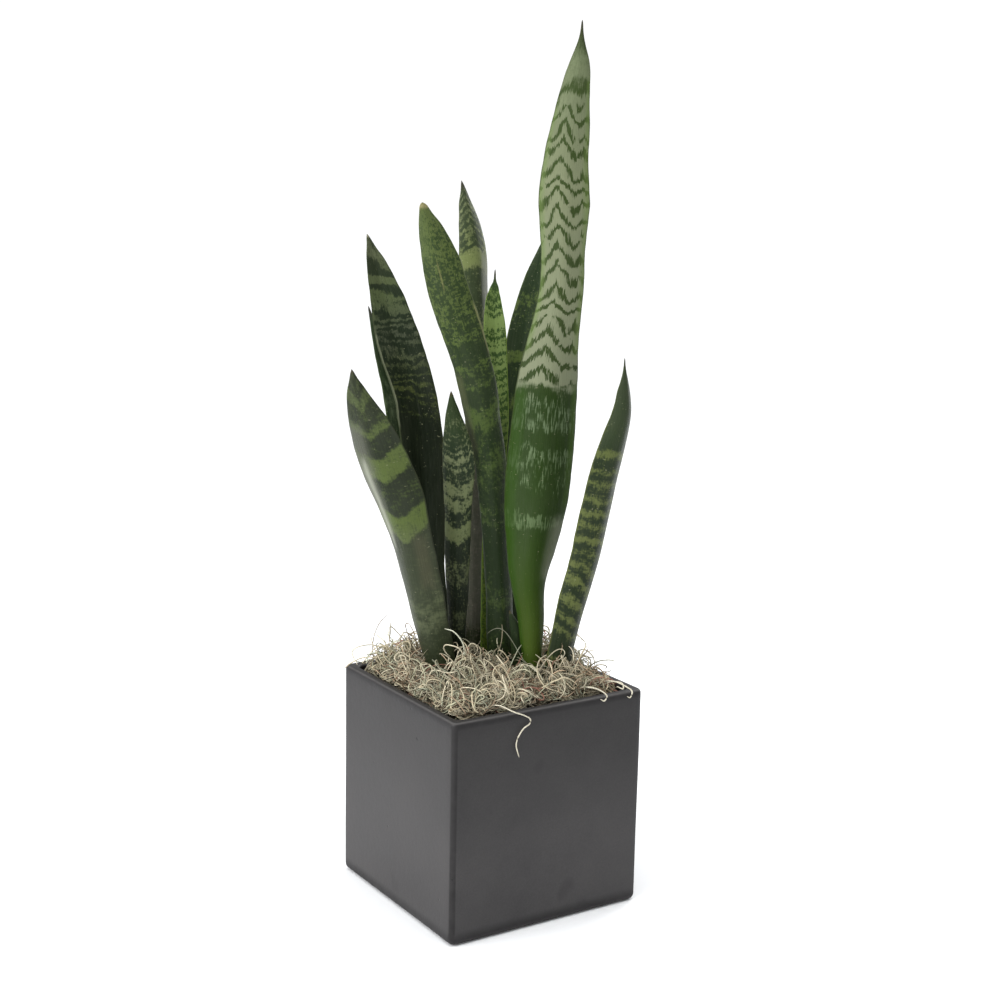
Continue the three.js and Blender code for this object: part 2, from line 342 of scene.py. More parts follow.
def ceramic_material():
    paint = Paint("charcoal_ceramic", 0.5, 0.25)
    place = paint.place()
    cloud = paint.noise(place, 14, 3)
    speck = paint.noise(place, 800, 2)
    smear = paint.noise(place, 50, 4, 0.65)
    tone = cloud * 0.22 + smear * 0.16 + speck * 0.12 + 0.5
    paint.colour = paint.mix(tone.clamp(), rgb(40, 39, 40), rgb(70, 68, 68))
    # painted shade: the pot is a little darker overall, and darker still towards the rim
    top_shade = paint.height(place).rise(0.3 * RIM, RIM)
    paint.cover(top_shade * 0.36 + 0.03, (0, 0, 0, 1))
    # painted shade: a dark band on the outer corners, just under the rim and just inside it;
    # painted highlight: a pale line along the rim's top
    edge_shade_and_highlight = paint.attribute("edge_shade_and_highlight") * (paint.noise(place, 120, 3) * 0.2 + 0.8)
    paint.cover(edge_shade_and_highlight.clamp(), rgb(22, 20, 21))
    paint.cover((edge_shade_and_highlight * -0.5).clamp(), rgb(96, 94, 93))
    near = paint.cells(place, 95)
    rare = paint.red(near.beside("Color"))
    pit = near.rise(0.14, 0.05) * rare.rise(0.965, 0.975)
    chip = near.rise(0.09, 0.04) * rare.rise(0.03, 0.02)
    ghost = paint.noise(place, 36, 1).rise(0.62, 0.9)
    paint.cover(ghost * 0.35, rgb(34, 33, 34))
    # painted shade: the pits are painted near black as well as sunk by the bump
    paint.cover(pit * 0.85, rgb(12, 12, 12))
    paint.cover(chip * 0.6, rgb(150, 148, 146))
    rough = cloud * 0.05 + smear * 0.06 + 0.5
    height = paint.noise(place, 240, 3) * 0.3 + paint.noise(place, 1500, 1) * 0.12 - pit * 4
    return paint.finish(paint.colour, rough, height, 0.12 * MM)


# ---- Soil and moss ----
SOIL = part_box("potting_soil")[1].z
MOSS_EDGE, MOSS_CROWN = RIM - 7.5 * MM, RIM + 0.5 * MM
# Heaps and hollows in the moss: middle, spread along X and Y, and height in millimetres.
HEAPS = ((-0.03, 0.052, 0.03, 0.02, 5), (0.055, -0.005, 0.016, 0.03, 5),
         (-0.066, 0.066, 0.014, 0.014, -6), (0.066, -0.062, 0.016, 0.016, -6))
FRONT_HEAP, FRONT_SPREAD = 4.5, 0.02  # along the two walls that the photograph shows
BARE_CORNERS = ((-0.066, 0.066, 0.011), (0.066, -0.064, 0.012))  # with few strands: x, y, radius
HEAP_STEPS = 110  # faces along each side of a block of loose stuff
FIT = 0.4 * MM  # what the blocks of loose stuff stay clear of the pot


def moss_level(x, y):
    """Height of the mat that the strands lie on."""
    out = np.maximum(np.abs(x), np.abs(y)) / CAVITY
    level = MOSS_EDGE + (MOSS_CROWN - MOSS_EDGE) * (1 - np.clip(out, 0, 1) ** 2.2)
    # lumps about 60 mm apart, with smaller ones about 22 mm apart on them
    level = level + 1.6 * MM * np.sin(105 * x + 1) * np.cos(105 * y)
    level = level + 1.1 * MM * np.sin(230 * x - 170 * y) + 0.8 * MM * np.sin(260 * y + 90 * x + 2)
    heap = 0
    for at_x, at_y, wide_x, wide_y, tall in HEAPS:
        heap = heap + tall * np.exp(-(((x - at_x) / wide_x) ** 2 + ((y - at_y) / wide_y) ** 2))
    front = np.exp(-((np.maximum(-x, -y) - CAVITY) / FRONT_SPREAD) ** 2)
    return level + (heap + FRONT_HEAP * front) * MM


def add_heap(name, node, bottom, level, material):
    """A closed block of loose stuff that fills the cavity from bottom up to level(x, y)."""
    steps = HEAP_STEPS
    line = np.linspace(FIT - CAVITY, CAVITY - FIT, steps + 1)
    y, x = np.meshgrid(line, line, indexing="ij")
    tops = np.stack([x, y, level(x, y)], -1).reshape(-1, 3)
    count = steps + 1
    faces = [(r * count + c, r * count + c + 1, (r + 1) * count + c + 1, (r + 1) * count + c)
             for r in range(steps) for c in range(steps)]
    border = list(range(count)) + [r * count + steps for r in range(1, count)]
    border += [steps * count + c for c in range(steps - 1, -1, -1)]
    border += [r * count for r in range(steps - 1, 0, -1)]
    points = tops.tolist()
    first = len(points)
    points += [(points[i][0], points[i][1], bottom) for i in border]
    ring = len(border)
    faces += [(border[i], first + i, first + (i + 1) % ring, border[(i + 1) % ring])
              for i in range(ring)]
    points.append((0, 0, bottom))
    faces += [(first + (i + 1) % ring, first + i, len(points) - 1) for i in range(ring)]
    make_piece(name, points, faces, material, [node])


def crumbs(x, y, *sizes):
    """Noise over a grid, each size given as lumps per metre, seed and height."""
    rough = [sum(noise.noise(Vector((a * rate, b * rate, seed))) * tall
                 for rate, seed, tall in sizes) for a, b in zip(x.ravel(), y.ravel())]
    return np.array(rough).reshape(x.shape)


def soil_level(x, y):
    return SOIL - 1.5 * MM + crumbs(x, y, (160, 3, 1.6 * MM), (520, 9, 0.8 * MM))


def mat_level(x, y):
    return moss_level(x, y) - 3.5 * MM + crumbs(x, y, (300, 5, 1.2 * MM))


def earth_material():
    paint = Paint("potting_earth", 0.95, 0.2)
    place = paint.place()
    crumb = paint.noise(place, 420, 4, 0.6)
    colour = paint.mix(crumb * 0.4 + 0.4, rgb(28, 21, 16), rgb(74, 58, 44))
    lump = crumb * 0.6 - paint.cells(place, 300)
    return paint.finish(colour, None, lump, 0.8 * MM)


# painted shade: the moss under the strands is painted far darker than the strands, for the shade
# deep in the moss
def mat_material():
    paint = Paint("moss_underneath", 0.95, 0.15)
    place = paint.place()
    fibre = paint.noise(place, 260, 5, 0.7)
    patch = paint.noise(place, 45, 2)
    colour = paint.mix(fibre * 0.6 + patch * 0.25 + 0.35, rgb(22, 18, 14), rgb(74, 64, 49))
    return paint.finish(colour, None, fibre, 1.2 * MM)


# Moss strands: their colours, and how common each one is.
STRAND_TONES = np.array([rgb(*tone) for tone in (
    (230, 220, 192), (216, 204, 172), (200, 198, 168), (184, 188, 162), (204, 178, 148),
    (178, 126, 108), (150, 128, 100))])
TONE_SHARES = np.array([0.28, 0.3, 0.15, 0.1, 0.1, 0.015, 0.055])


def curl_paths(rng, count, steps, x, y, length, radius, tilt, lift):
    """Curling strands: a curve that winds in a tilted plane, pressed on to the moss."""
    pace = (length / steps)[:, None]
    t = np.linspace(0, 1, steps + 1)[None, :]
    turn = 1 / radius[:, None] * rng.choice((-1, 1), (count, 1))
    wobble = np.sin(2 * np.pi * (t * rng.uniform(0.4, 1.8, (count, 1)) + rng.random((count, 1))))
    heading = np.cumsum(turn * (0.75 + 0.6 * wobble) * pace, 1)
    heading += rng.uniform(0, 2 * np.pi, (count, 1))
    a = np.cumsum(np.cos(heading) * pace, 1)
    b = np.cumsum(np.sin(heading) * pace, 1)
    a -= a.mean(1, keepdims=True)
    b -= b.mean(1, keepdims=True)
    spin = rng.uniform(0, 2 * np.pi, (count, 1))
    lean = tilt[:, None]
    px = x[:, None] + a * np.cos(spin) - b * np.sin(spin) * np.cos(lean)
    py = y[:, None] + a * np.sin(spin) + b * np.cos(spin) * np.cos(lean)
    up = b * np.sin(lean)
    up = up - up.min(1, keepdims=True)
    up = lift[:, None] + up + 0.5 * MM * np.sin(9 * t + spin)
    return px, py, up


def keep_in(px, py, up, most):
    """Keeps the strands inside the cavity, and on or over the moss. Above the rim a strand may
    reach out by most."""
    edge = CAVITY - 0.9 * MM
    over = np.clip((moss_level(px, py) + up - RIM - 0.8 * MM) / (2 * MM), 0, 1) * most[:, None]
    limit = edge + over
    for p in (px, py):
        p[...] = np.where(np.abs(p) > limit, np.sign(p) * (2 * limit - np.abs(p)), p)
        p[...] = np.clip(p, -limit, limit)
    for p in (px, py):
        p[:, 1:-1] = (p[:, :-2] + 2 * p[:, 1:-1] + p[:, 2:]) / 4
    pz = moss_level(px, py) + up
    beyond = np.maximum(np.abs(px), np.abs(py)) > edge
    pz = np.where(beyond, np.maximum(pz, RIM + 0.7 * MM), pz)
    return np.stack([px, py, pz], -1)


def tubes(paths, radii, sides=4):
    """Points and faces of a tapered tube along each path of (count, steps, 3)."""
    count, steps, _ = paths.shape
    along = np.gradient(paths, axis=1)
    along /= np.linalg.norm(along, axis=2, keepdims=True) + 1e-9
    guide = np.where(np.abs(along[..., 2:]) < 0.9, [[0.0, 0.0, 1.0]], [[1.0, 0.0, 0.0]])
    one = np.cross(along, guide)
    one /= np.linalg.norm(one, axis=2, keepdims=True) + 1e-9
    two = np.cross(along, one)
    t = np.linspace(0, 1, steps)
    taper = np.sqrt(np.clip(1 - np.abs(2 * t - 1) ** 6, 0.12, 1))
    width = radii[:, None] * taper[None, :]
    rings = []
    for k in range(sides):
        a = 2 * np.pi * k / sides
        rings.append(paths + (one * math.cos(a) + two * math.sin(a)) * width[..., None])
    points = np.stack(rings, 2).reshape(-1, 3)
    start = np.arange(count)[:, None, None] * steps * sides
    ring = np.arange(steps - 1)[None, :, None] * sides
    k = np.arange(sides)[None, None, :]
    j = (k + 1) % sides
    quads = np.stack([start + ring + k, start + ring + j,
                      start + ring + sides + j, start + ring + sides + k], -1).reshape(-1, 4)
    first = np.arange(count)[:, None] * steps * sides
    caps = np.concatenate([first + np.arange(sides)[None, ::-1],
                           first + (steps - 1) * sides + np.arange(sides)[None, :]])
    return points, quads.tolist() + caps.tolist()


def strand_uv(count, steps, sides):
    """A cell of its own for each strand, so that a baked map keeps each one's colour."""
    grid = math.ceil(math.sqrt(count))
    cell = 1 / grid
    ring = np.arange(steps - 1)[None, :, None]
    k = np.arange(sides)[None, None, :]
    u = [(ring + d) / (steps - 1) + 0 * k for d in (0, 0, 1, 1)]
    v = [(k + d) / sides + 0 * ring for d in (0, 1, 1, 0)]
    quad = np.stack([np.stack(u, -1), np.stack(v, -1)], -1)
    which = np.arange(count)
    corner = np.stack([which % grid, which // grid], -1) * cell
    uv = corner[:, None, None, None, None, :] + quad[:, :, :, None] * cell * 0.8 + cell * 0.1
    cap = np.repeat(corner[None, :, None, :] + cell * 0.5, sides, 2)
    return np.concatenate([uv.reshape(-1, 2), cap.reshape(-1, 2), cap.reshape(-1, 2)])


def add_strands(name, paths, radii, tones, sides=4):
    count, steps, _ = paths.shape
    points, faces = tubes(paths, radii, sides)
    colours = np.repeat(tones, steps * sides, 0)
    make_piece(name, points, faces, strand_paint, (), [("tint", colours)],
               strand_uv(count, steps, sides))


def strand_material():
    paint = Paint("moss_strands", 0.75, 0.3)
    place = paint.place()
    tint = paint.attribute("tint", "Color")
    dusty = paint.noise(place, 320, 3)
    colour = paint.mix((dusty * 0.25 + 0.1).clamp(), tint, rgb(110, 96, 76))
    return paint.finish(colour, None, paint.noise(place, 1400, 2), 0.1 * MM)


strand_paint = strand_material()


def pick_tones(rng, count, shade):
    """A colour for each strand; lower layers get a darker shade, which is painted shade under the
    strands above.
    """
    tones = STRAND_TONES[rng.choice(len(STRAND_TONES), count, p=TONE_SHARES / TONE_SHARES.sum())]
    shade = shade * rng.uniform(0.75, 1.2, (count, 1))
    return np.concatenate([np.clip(tones[:, :3] * shade, 0, 1), tones[:, 3:]], 1)


def add_moss():
    rng = np.random.default_rng(7)
    add_heap("moss_mat", "moss", SOIL + 0.5 * MM, mat_level, mat_material())
    # name, strands, lift from and to, lean, sides of a tube, shade (darker for lower layers:
    # painted shade)
    layers = [("moss_strands_low", 1000, -2.5, 0.5, 0.5, 3, 0.28),
              ("moss_strands_middle", 1000, -0.8, 2.2, 1.0, 3, 0.46),
              ("moss_strands_top", 760, 0, 4.5, 1.4, 4, 0.7)]
    for name, count, low, high, lean, sides, shade in layers:
        x = rng.uniform(-CAVITY + 2 * MM, CAVITY - 2 * MM, count)
        y = rng.uniform(-CAVITY + 2 * MM, CAVITY - 2 * MM, count)
        bare = np.any([(x - at_x) ** 2 + (y - at_y) ** 2 < reach ** 2
                       for at_x, at_y, reach in BARE_CORNERS], 0)
        x, y = np.where(bare, x * 0.6, x), np.where(bare, y * 0.6, y)
        length = rng.uniform(22, 58, count) * MM
        radius = rng.uniform(2.6, 8, count) * MM
        tilt = rng.uniform(0, lean, count)
        lift = rng.uniform(low, high, count) * MM
        most = np.where(rng.random(count) < 0.4, 3.0, 0.3) * MM
        paths = keep_in(*curl_paths(rng, count, 25, x, y, length, radius, tilt, lift), most)
        add_strands(name, paths, rng.uniform(0.34, 0.5, count) * MM,
                    pick_tones(rng, count, shade), sides)
    # wilder tufts, three in five towards the back and the rest towards the right
    count = 120
    back = rng.random(count) < 0.6
    x = np.where(back, rng.normal(-0.035, 0.016, count), rng.normal(0.056, 0.008, count))
    y = np.where(back, rng.normal(0.054, 0.008, count), rng.normal(-0.012, 0.022, count))
    length = rng.uniform(30, 66, count) * MM
    radius = rng.uniform(4.5, 10, count) * MM
    tilt = rng.uniform(0.5, 1.2, count)
    lift = rng.uniform(0, 3, count) * MM
    paths = keep_in(*curl_paths(rng, count, 26, x, y, length, radius, tilt, lift),
                    np.full(count, 5 * MM))
    add_strands("moss_tufts", paths, rng.uniform(0.3, 0.42, count) * MM,
                pick_tones(rng, count, 0.75))
    loose = [through(np.linspace(0, 1, len(path)), np.array(path, float) * MM,
                     np.linspace(0, 1, LOOSE_STEPS)) for path in LOOSE]
    tones = np.array([rgb(*LOOSE_TONES.get(i, LOOSE_TONE)) for i in range(len(LOOSE))])
    add_strands("moss_loose", np.array(loose), np.full(len(LOOSE), LOOSE_RADIUS), tones, 6)


LOOSE_STEPS, LOOSE_RADIUS, LOOSE_TONE = 28, 0.45 * MM, (206, 200, 180)
# The points of strands that wander off by themselves, in millimetres: over the front of the
# rim, off the two corners, up between the leaves and in the tufts.
LOOSE = [
    [(-44, -60, 154), (-38, -69, 157), (-31, -76.4, 153.5), (-24, -77.5, 150.5),
     (-18.5, -77, 147), (-18.5, -76.6, 143.5), (-23, -76.4, 141), (-27, -76.4, 136),
     (-28.5, -76.4, 131), (-27.5, -76.5, 126), (-26, -76.5, 122)],
    [(-50, 48, 156), (-60, 52, 160), (-68, 58, 160), (-76, 62, 156), (-82, 60, 153.5)],
    [(-44, 54, 158), (-56, 60, 166), (-68, 60, 168), (-75, 62, 164), (-74, 56, 156)],
    [(-18, 2, 154), (-25, 0, 163), (-22.5, -1, 172), (-24, -0.5, 180), (-29, 2, 187),
     (-34, 6, 189)],
    [(-30, 50, 160), (-40, 55, 172), (-48, 56, 180), (-50, 54, 172), (-44, 56, 166)],
    [(-24, 52, 160), (-30, 56, 170), (-38, 54, 175), (-40, 56, 168), (-33, 54, 163)],
    [(-52, 44, 158), (-58, 52, 163), (-66, 54, 163), (-70, 50, 158)],
    [(30, -56, 153), (33, -65, 157), (38, -72, 157), (43, -76.2, 153), (41, -76.6, 149.5),
     (38, -76.4, 151)],
    [(46, -52, 152), (50, -60, 157), (56, -67, 158), (61, -73, 155.5), (64, -76.3, 152.5),
     (62.5, -76.6, 148.5), (60, -76.4, 149.5)],
    [(50, -56, 152), (56, -64, 157), (60, -70, 157), (58, -74, 154.5), (55, -71, 156)],
    [(50, 18, 154), (56, 26, 162), (60, 27, 171), (60, 23, 168), (60, 27, 158)],
    [(56, -18, 153), (62, -14, 162), (66, -16, 166), (70, -22, 162), (68, -28, 156)],
    [(46, 4, 155), (56, -2, 163), (62, -8, 166), (64, -14, 162), (60, -20, 155)],
    [(-40, -40, 152), (-50, -48, 156), (-58, -52, 156), (-63, -58, 154), (-60, -64, 152)],
    [(0, -20, 158), (8, -26, 166), (14, -34, 163), (16, -42, 156), (10, -48, 153)],
]
# Those of another colour.
LOOSE_TONES = {10: (190, 118, 104), 3: (206, 208, 188), 1: (196, 186, 158), 6: (190, 194, 172)}


# ---- Leaves ----
RING = 12  # points round a section of a CAD leaf
HALF_RING, QUARTER = RING // 2, RING // 4
INNER, OUTER = QUARTER, RING - QUARTER  # the middle points of a section's two faces


def walk_rings(node):
    """A CAD leaf's sections from base to tip, each as its RING points in order round it."""
    bm = bmesh.new()
    bm.from_mesh(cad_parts[node].data)
    bmesh.ops.remove_doubles(bm, verts=bm.verts, dist=1e-6)
    top = max(bm.verts, key=lambda v: v.co.z)
    ring = set(sorted(bm.verts, key=lambda v: (v.co - top.co).length)[:RING])
    seen, rings = set(), []
    while ring:
        beside = {v: [e.other_vert(v) for e in v.link_edges
                      if e.other_vert(v) in ring
                      and any(not set(f.verts) <= ring for f in e.link_faces)] for v in ring}
        walk = [min(ring, key=lambda v: tuple(v.co))]
        previous = None
        while len(walk) < RING:
            one, other = beside[walk[-1]]
            following = other if one is previous else one
            previous = walk[-1]
            walk.append(following)
        rings.append(np.array([v.co[:] for v in walk]))
        seen |= ring
        ring = {e.other_vert(v) for v in ring for e in v.link_edges} - seen
    bm.free()
    return rings[::-1]


def cad_rings(node):
    """A CAD leaf's sections from base to tip, all turned alike: from one margin along the
    inner face to the other margin and back along the outer face."""
    rings = walk_rings(node)
    centres = np.array([r.mean(0) for r in rings])
    along = np.gradient(centres, axis=0)
    for i, r in enumerate(rings):
        spread = r - centres[i]
        area = np.cross(spread, np.roll(spread, -1, 0)).sum(0)
        if area @ along[i] < 0:
            rings[i] = r[::-1]

    def width(ring, k):
        return np.linalg.norm(ring[k] - ring[k + HALF_RING])

    widest = int(np.argmax([max(width(r, k) for k in range(HALF_RING)) for r in rings]))
    r = rings[widest]
    k = max(range(HALF_RING), key=lambda k: width(r, k))
    chord = (r[k] + r[k + HALF_RING]) / 2
    inner, outer = r[k + INNER], r[(k + OUTER) % RING]
    if np.linalg.norm(inner - chord) > np.linalg.norm(outer - chord):
        k += HALF_RING
    rings[widest] = np.roll(r, -k, 0)
    for order in (range(widest + 1, len(rings)), range(widest - 1, -1, -1)):
        last = rings[widest]
        for i in order:
            away = last - last.mean(0)
            shifts = [np.roll(rings[i], -k, 0) for k in range(RING)]
            rings[i] = min(shifts, key=lambda s: ((s - s.mean(0) - away) ** 2).sum())
            last = rings[i]
    return np.array(rings)


def through(places, values, wanted):
    """A smooth curve through the values, cubic between one place and the next."""
    slopes = np.gradient(values, places, axis=0)
    i = np.clip(np.searchsorted(places, wanted) - 1, 0, len(places) - 2)
    gap = places[i + 1] - places[i]
    t = (wanted - places[i]) / gap
    shape = (-1,) + (1,) * (values.ndim - 1)
    t, gap = t.reshape(shape), gap.reshape(shape)
    return ((2 * t ** 3 - 3 * t ** 2 + 1) * values[i] + (t ** 3 - 2 * t ** 2 + t) * gap * slopes[i]
            + (3 * t ** 2 - 2 * t ** 3) * values[i + 1] + (t ** 3 - t ** 2) * gap * slopes[i + 1])


ROW_PITCH, TIP_ROWS = 2.2 * MM, 9
TIP_ROUND = 3.5 * MM  # length of a leaf's rounded end
CALM_WIDTH = 12 * MM  # a leaf narrower than this waves less
COLUMNS = 19  # points across each face
AROUND = 2 * COLUMNS - 2
ACROSS = -np.cos(np.linspace(0, np.pi, COLUMNS))  # s, closer together at the margins


def leaf_sheet(rings):
    """A leaf's middle surface as rows of COLUMNS points from base to tip, and for each row
    which way is outward, the half thickness, and the distance from the base."""
    middle = np.stack([(rings[:, HALF_RING - k] + rings[:, (HALF_RING + k) % RING]) / 2
                       for k in range(HALF_RING + 1)], 1)
    outward = rings[:, OUTER] - rings[:, INNER]
    thick = np.linalg.norm(outward, axis=1) / 2
    steps = np.diff(middle[:, QUARTER], axis=0)
    run = np.concatenate([[0], np.cumsum(np.linalg.norm(steps, axis=1))])
    along = np.linspace(0, run[-1], int(run[-1] / ROW_PITCH) + 2)
    along = np.concatenate([along[:-2], np.linspace(along[-3], run[-1], TIP_ROWS)[1:]])
    middle = through(run, middle, along)
    left = np.clip((run[-1] - along) / TIP_ROUND, 0, 1)
    rounded = np.sqrt(np.clip(1 - (1 - left) ** 2, 0.03, 1))
    centre = middle[:, QUARTER:QUARTER + 1]
    middle = centre + (middle - centre) * rounded[:, None, None]
    places = np.linspace(-1, 1, HALF_RING + 1)
    surface = through(places, middle.transpose(1, 0, 2), ACROSS).transpose(1, 0, 2)
    return surface, through(run, outward, along), np.interp(along, run, thick) * rounded, along


def waves(along, *sizes):
    """Noise over a leaf. Each size gives waves per metre along and per unit of s, whether s
    counts by its side only, the seed, the height, and the power of s that it grows with."""
    def at(a, c):
        return sum(tall * noise.noise(Vector((a * rate, across * (np.sign(c) if by_side else c),
                                              seed))) * abs(c) ** power
                   for rate, across, by_side, seed, tall, power in sizes)
    return np.array([[at(a, c) for c in ACROSS] for a in along])


def leaf_faces(rows):
    """The quads round a leaf, and those that close its base and its tip."""
    caps = []
    for row, order in ((0, 1), (rows - 1, -1)):
        base = row * AROUND
        for c in range(COLUMNS - 1):
            back = [base + (AROUND - k) % AROUND for k in (c, c + 1)]
            quad = [base + c, base + c + 1, back[1], back[0]]
            quad = [q for i, q in enumerate(quad) if q not in quad[:i]]
            caps.append(tuple(quad[::order]))
    return ring_faces(rows, AROUND), caps


def leaf_uv(faces, caps, rows):
    """The outer face fills the left half of the map, and the inner face the right half."""
    outer = 0.02 + 0.23 * (np.linspace(-1, 1, COLUMNS) + 1)
    columns = list(outer) + [1 - u for u in outer[-2:0:-1]]
    uv = []
    for f in faces:
        cs = [i % AROUND for i in f]
        behind = max(cs) >= COLUMNS or (0 in cs and AROUND - 1 in cs)
        for i, c in zip(f, cs):
            u = columns[c]
            if behind and c in (0, COLUMNS - 1):
                u = 1 - outer[c]
            uv.append((u, 0.02 + 0.96 * (i // AROUND) / (rows - 1)))
    for f in caps:
        uv += [(0.505 + 0.001 * k, 0.005 + 0.001 * (k % 2)) for k in range(len(f))]
    return uv


def add_leaf(node, look, number):
    surface, outward, thick, along = leaf_sheet(cad_rings(node))
    rows, centre, seed = len(along), COLUMNS // 2, 10 * number
    s = ACROSS
    if (surface[rows // 2, -1] - surface[rows // 2, 0]) @ np.array(VIEW_RIGHT) < 0:
        s = -s
    normal = np.cross(np.gradient(surface, axis=0), np.gradient(surface, ACROSS, axis=1))
    normal /= np.linalg.norm(normal, axis=2, keepdims=True) + 1e-12
    normal *= np.sign((normal[:, centre] * outward).sum(1))[:, None, None]
    width = np.linalg.norm(surface[:, -1] - surface[:, 0], axis=1)
    calm = np.clip(width / CALM_WIDTH, 0, 1)[:, None]
    ripple = waves(along, (22, 1.5, True, seed, 1, 3), (9, 3.2, False, seed + 5, 0.25, 0))
    surface = surface + normal * (ripple * calm * look["ripple"] * MM)[..., None]
    sideways = (surface[:, -1] - surface[:, 0]) / (width[:, None] + 1e-9)
    waver = waves(along, (34, 4, True, seed + 2, 1, 2), (110, 4, True, seed + 3, 0.3, 6))
    surface = surface + sideways[:, None] * (waver * calm * MM)[..., None]
    ridges = waves(along, (7, 9, False, seed + 8, 0.1, 0))
    body = thick[:, None] * np.sqrt(1 - ACROSS ** 2)[None, :] * (1 + ridges)
    outer = surface + normal * body[..., None]
    inner = surface - normal * body[..., None]
    flat = np.concatenate([outer, inner[:, -2:0:-1]], 1).reshape(-1, 3)
    faces, caps = leaf_faces(rows)
    a, b, c = (flat[i] for i in faces[centre][:3])
    if np.cross(b - a, c - b) @ normal[0, centre] < 0:
        faces, caps = [f[::-1] for f in faces], [f[::-1] for f in caps]
    name = node.replace("leaf", "blade").replace("sheath", "young_blade")
    make_piece(name, flat, faces + caps, leaf_material(node, look, number, along[-1] / MM),
               [node],
               [("across", np.tile(np.concatenate([s, s[-2:0:-1]]), rows)),
                ("along", np.repeat(along / MM, AROUND))], leaf_uv(faces, caps, rows))


class Skin(Paint):
    """A leaf's material: s is -1 at the left margin and 1 at the right one, and m is the
    distance from the base in millimetres."""

    def __init__(self, name, gloss, seed):
        super().__init__(name, 0.4, gloss)
        self.s, self.m, self.seed = self.attribute("across"), self.attribute("along"), seed

    def grain(self, across, step, detail=2.0, extra=0.0):
        """Noise with this many bumps over the width, and one each step along."""
        place = self.vector(self.s * (across / 2), self.m * (1 / step), self.seed + extra)
        return self.noise(place, 1, detail, 0.55)


def shares(percents):
    return [(place, percent / 100) for place, percent in percents.items()]


def leaf_pattern(skin, look):
    """How far each spot is from the dark tone, 0, to the light one, 1."""
    s, m, grain = skin.s, skin.m, skin.grain
    zig = grain(4, 26, 1, 1) * look["zig"]
    rag = grain(14, 9, 2, 2) * look["rag"]
    fringe = grain(60, 30, 2, 3) * look["fringe"]
    ragged = m + zig + rag + fringe + grain(0.4, 20, 1, 24) * look["uneven"]
    shift = skin.curve(s, look["bow"]) * look["bow_size"]
    level = ragged - shift
    if "bow_top" in look:
        share = m.rise(*look["bow_top_from"])
        top = skin.curve(s, look["bow_top"]) * look["bow_size"]
        shift = shift + share * (top - shift)
    w = ragged - shift
    pale = skin.ramp(level if look["level_bands"] else w, shares(look["bands"]))
    fleck = grain(11, 1.6, 2, 4) * 0.65 + grain(38, 3.2, 2, 21) * 0.5
    pale = pale + grain(6, 8, 2, 18) * look["broken"]
    if "chevrons" in look:
        first, last, pitch, size, depth = look["chevrons"]
        beat = (w * (1 / pitch)).step("PINGPONG", 0.5)
        thin = grain(5, 12, 2, 6) * 0.16
        gate = (grain(3.5, 10, 2, 19) + 0.62).rise(0.05, 0.45)
        line = (beat + thin).rise(size + 0.1, size - 0.05) * gate
        pale = pale - line * m.inside(first, last, 5) * depth
    if "streaks" in look:
        amount = skin.ramp(m + grain(6, 20, 1, 7) * 5, shares(look["streaks"]))
        strand = grain(52, 9, 2, 8) * 0.6 + grain(9, 9, 2, 22) * 0.25 + 0.5
        pale = pale + (strand + amount - 0.8).rise(0.0, 0.9) * 0.8
    pale = pale + fleck * look["mottle"]
    if "mottle_patch" in look:
        low, high, start, end, strength = look["mottle_patch"]
        patch = s.inside(low, high, 0.2) * m.inside(start, end, 10)
        pale = pale + (fleck * 1.3 - 0.25).least(0) * patch * strength
    return pale.rise(look["all_dark"], look["all_pale"])


def tone_stops(stops):
    return [(at, rgb(*tone)) for at, *tone in stops]


def leaf_material(node, look, number, length):
    skin = Skin(node + "_skin", look["gloss"], 7.3 * number)
    s, m, grain = skin.s, skin.m, skin.grain
    pale = leaf_pattern(skin, look)
    dark = skin.tint(skin.ramp(m, tone_stops(look["dark"])), 1.0, 1.02, 0.8)
    light = skin.tint(skin.ramp(m, tone_stops(look["light"])), 1.05, 0.97, 0.97)
    skin.colour = skin.mix(pale, dark, light)
    # some patches are the leaf's own marks and some are painted highlights where a curving leaf
    # catches the light
    for low, high, start, end, soft, tone, strength in look["patches"]:
        mask = (s + grain(6, 14, 2, 9) * 0.03).inside(low, high, soft)
        mask = mask * (m + grain(10, 14, 2, 10) * 3).inside(start, end, 5)
        skin.cover(mask * strength, rgb(*tone))
    bloom = grain(3, 45, 3, 11) * 0.09 + grain(70, 60, 2, 12) * 0.05
    skin.cover((bloom + 0.04).most(0), rgb(120, 125, 112))
    dust = skin.noise(skin.vector(s * 8, m * 0.7, skin.seed + 23), 1, 1).rise(0.66, 0.8)
    skin.cover(dust * 0.4, rgb(176, 176, 150))
    edge = (s.size() + grain(4, 8, 2, 13) * 0.015).rise(0.935, 0.985)
    skin.cover(edge * 0.8, rgb(*look["margin"]))
    tip = (m + grain(8, 6, 2, 14) * 2).rise(length - look["tip"], length - 2)
    skin.cover(tip * 0.85, rgb(*look["tip_tone"]))
    rough = grain(8, 30, 3, 15) * 0.05 + 0.42
    height = grain(90, 90, 2, 16) * 0.5 + grain(10, 12, 3, 17) * 0.7 + pale * 0.2
    # painted light and shade: depth makes each leaf as a whole lighter or darker for how it is lit
    depth = look["depth"]
    colour = skin.tint(skin.colour, 0.98 * depth, 1.0 * depth, 0.86 * depth)
    return skin.finish(colour, rough, height, 0.16 * MM)


SMILE = [(-1, 0.8), (-0.5, 0.1), (0, -0.3), (0.5, 0.1), (1, 0.8)]
